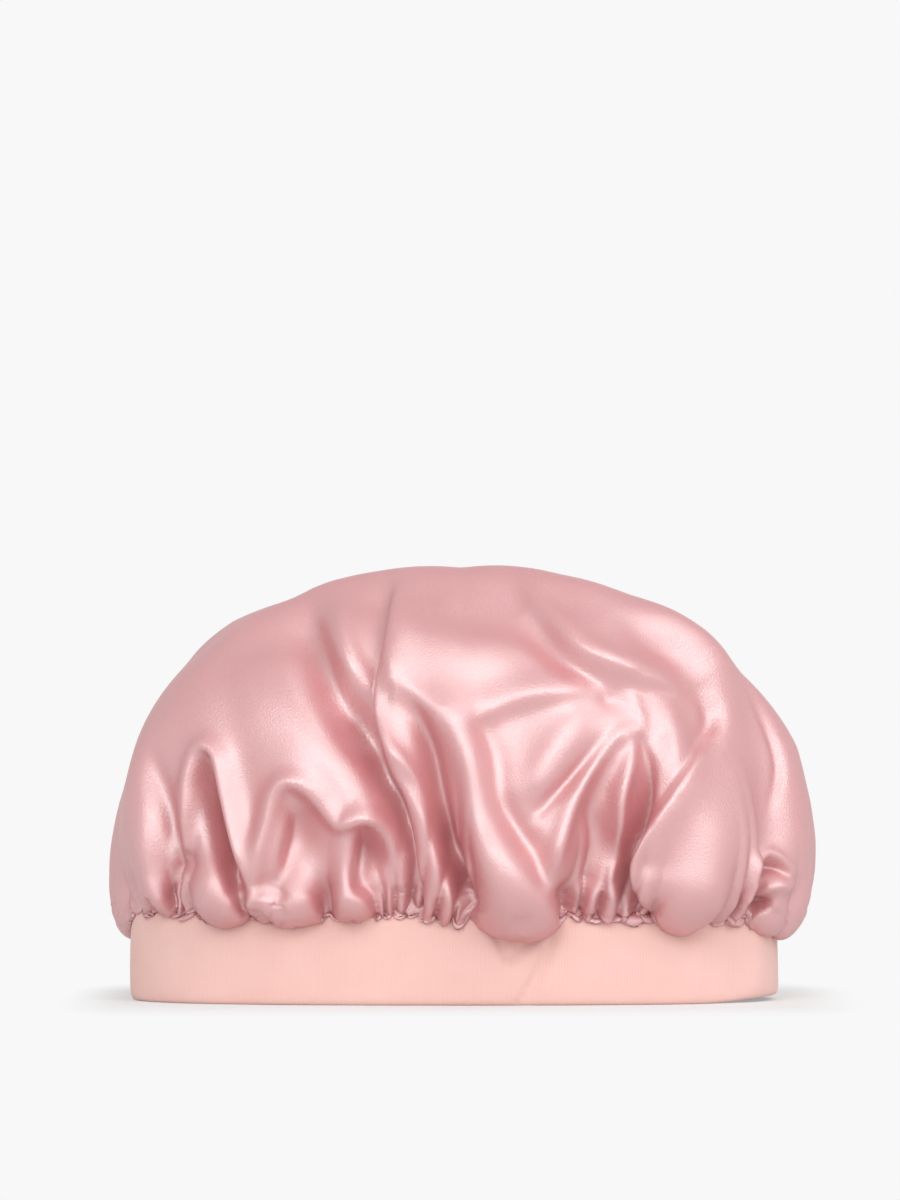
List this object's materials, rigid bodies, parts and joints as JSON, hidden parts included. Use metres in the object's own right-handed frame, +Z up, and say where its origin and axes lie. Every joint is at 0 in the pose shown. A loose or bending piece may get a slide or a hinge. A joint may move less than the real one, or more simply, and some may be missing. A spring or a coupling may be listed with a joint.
{
  "type": "hair bonnet",
  "caption": "Soft round sleep bonnet: a lined satin crown gathered into a folded jersey band with flat elastic inside, standing on its hem, open below for the head.",
  "frame": {"origin": "on the floor under the middle of the crown, level with the band's hem", "axes": "+Z up from the hem to the top of the crown, +X from the wearer's one ear to the other along the long way of the oval band, -Y the front that the picture shows"},
  "size_m": [0.2586, 0.146, 0.1585],
  "materials": {
    "crown_satin": "pink polyester satin with a strong soft sheen",
    "lining_satin": "pink polyester satin, shiny side in",
    "band_jersey": "peach cotton and elastane jersey, matt",
    "elastic": "flat woven elastic, ivory",
    "seam_thread": "pink polyester overlock thread",
    "band_thread": "peach polyester thread",
    "elastic_thread": "ivory polyester thread"
  },
  "bodies": {
    "root": {"crown_satin": "crown_satin", "crown_lining": "lining_satin", "band_jersey": "band_jersey", "band_elastic": "elastic", "overlock_edge": "seam_thread", "seam_needle_thread": "seam_thread", "band_join_stitches": "band_thread", "elastic_join_stitches": "elastic_thread"}
  },
  "joints": []
}
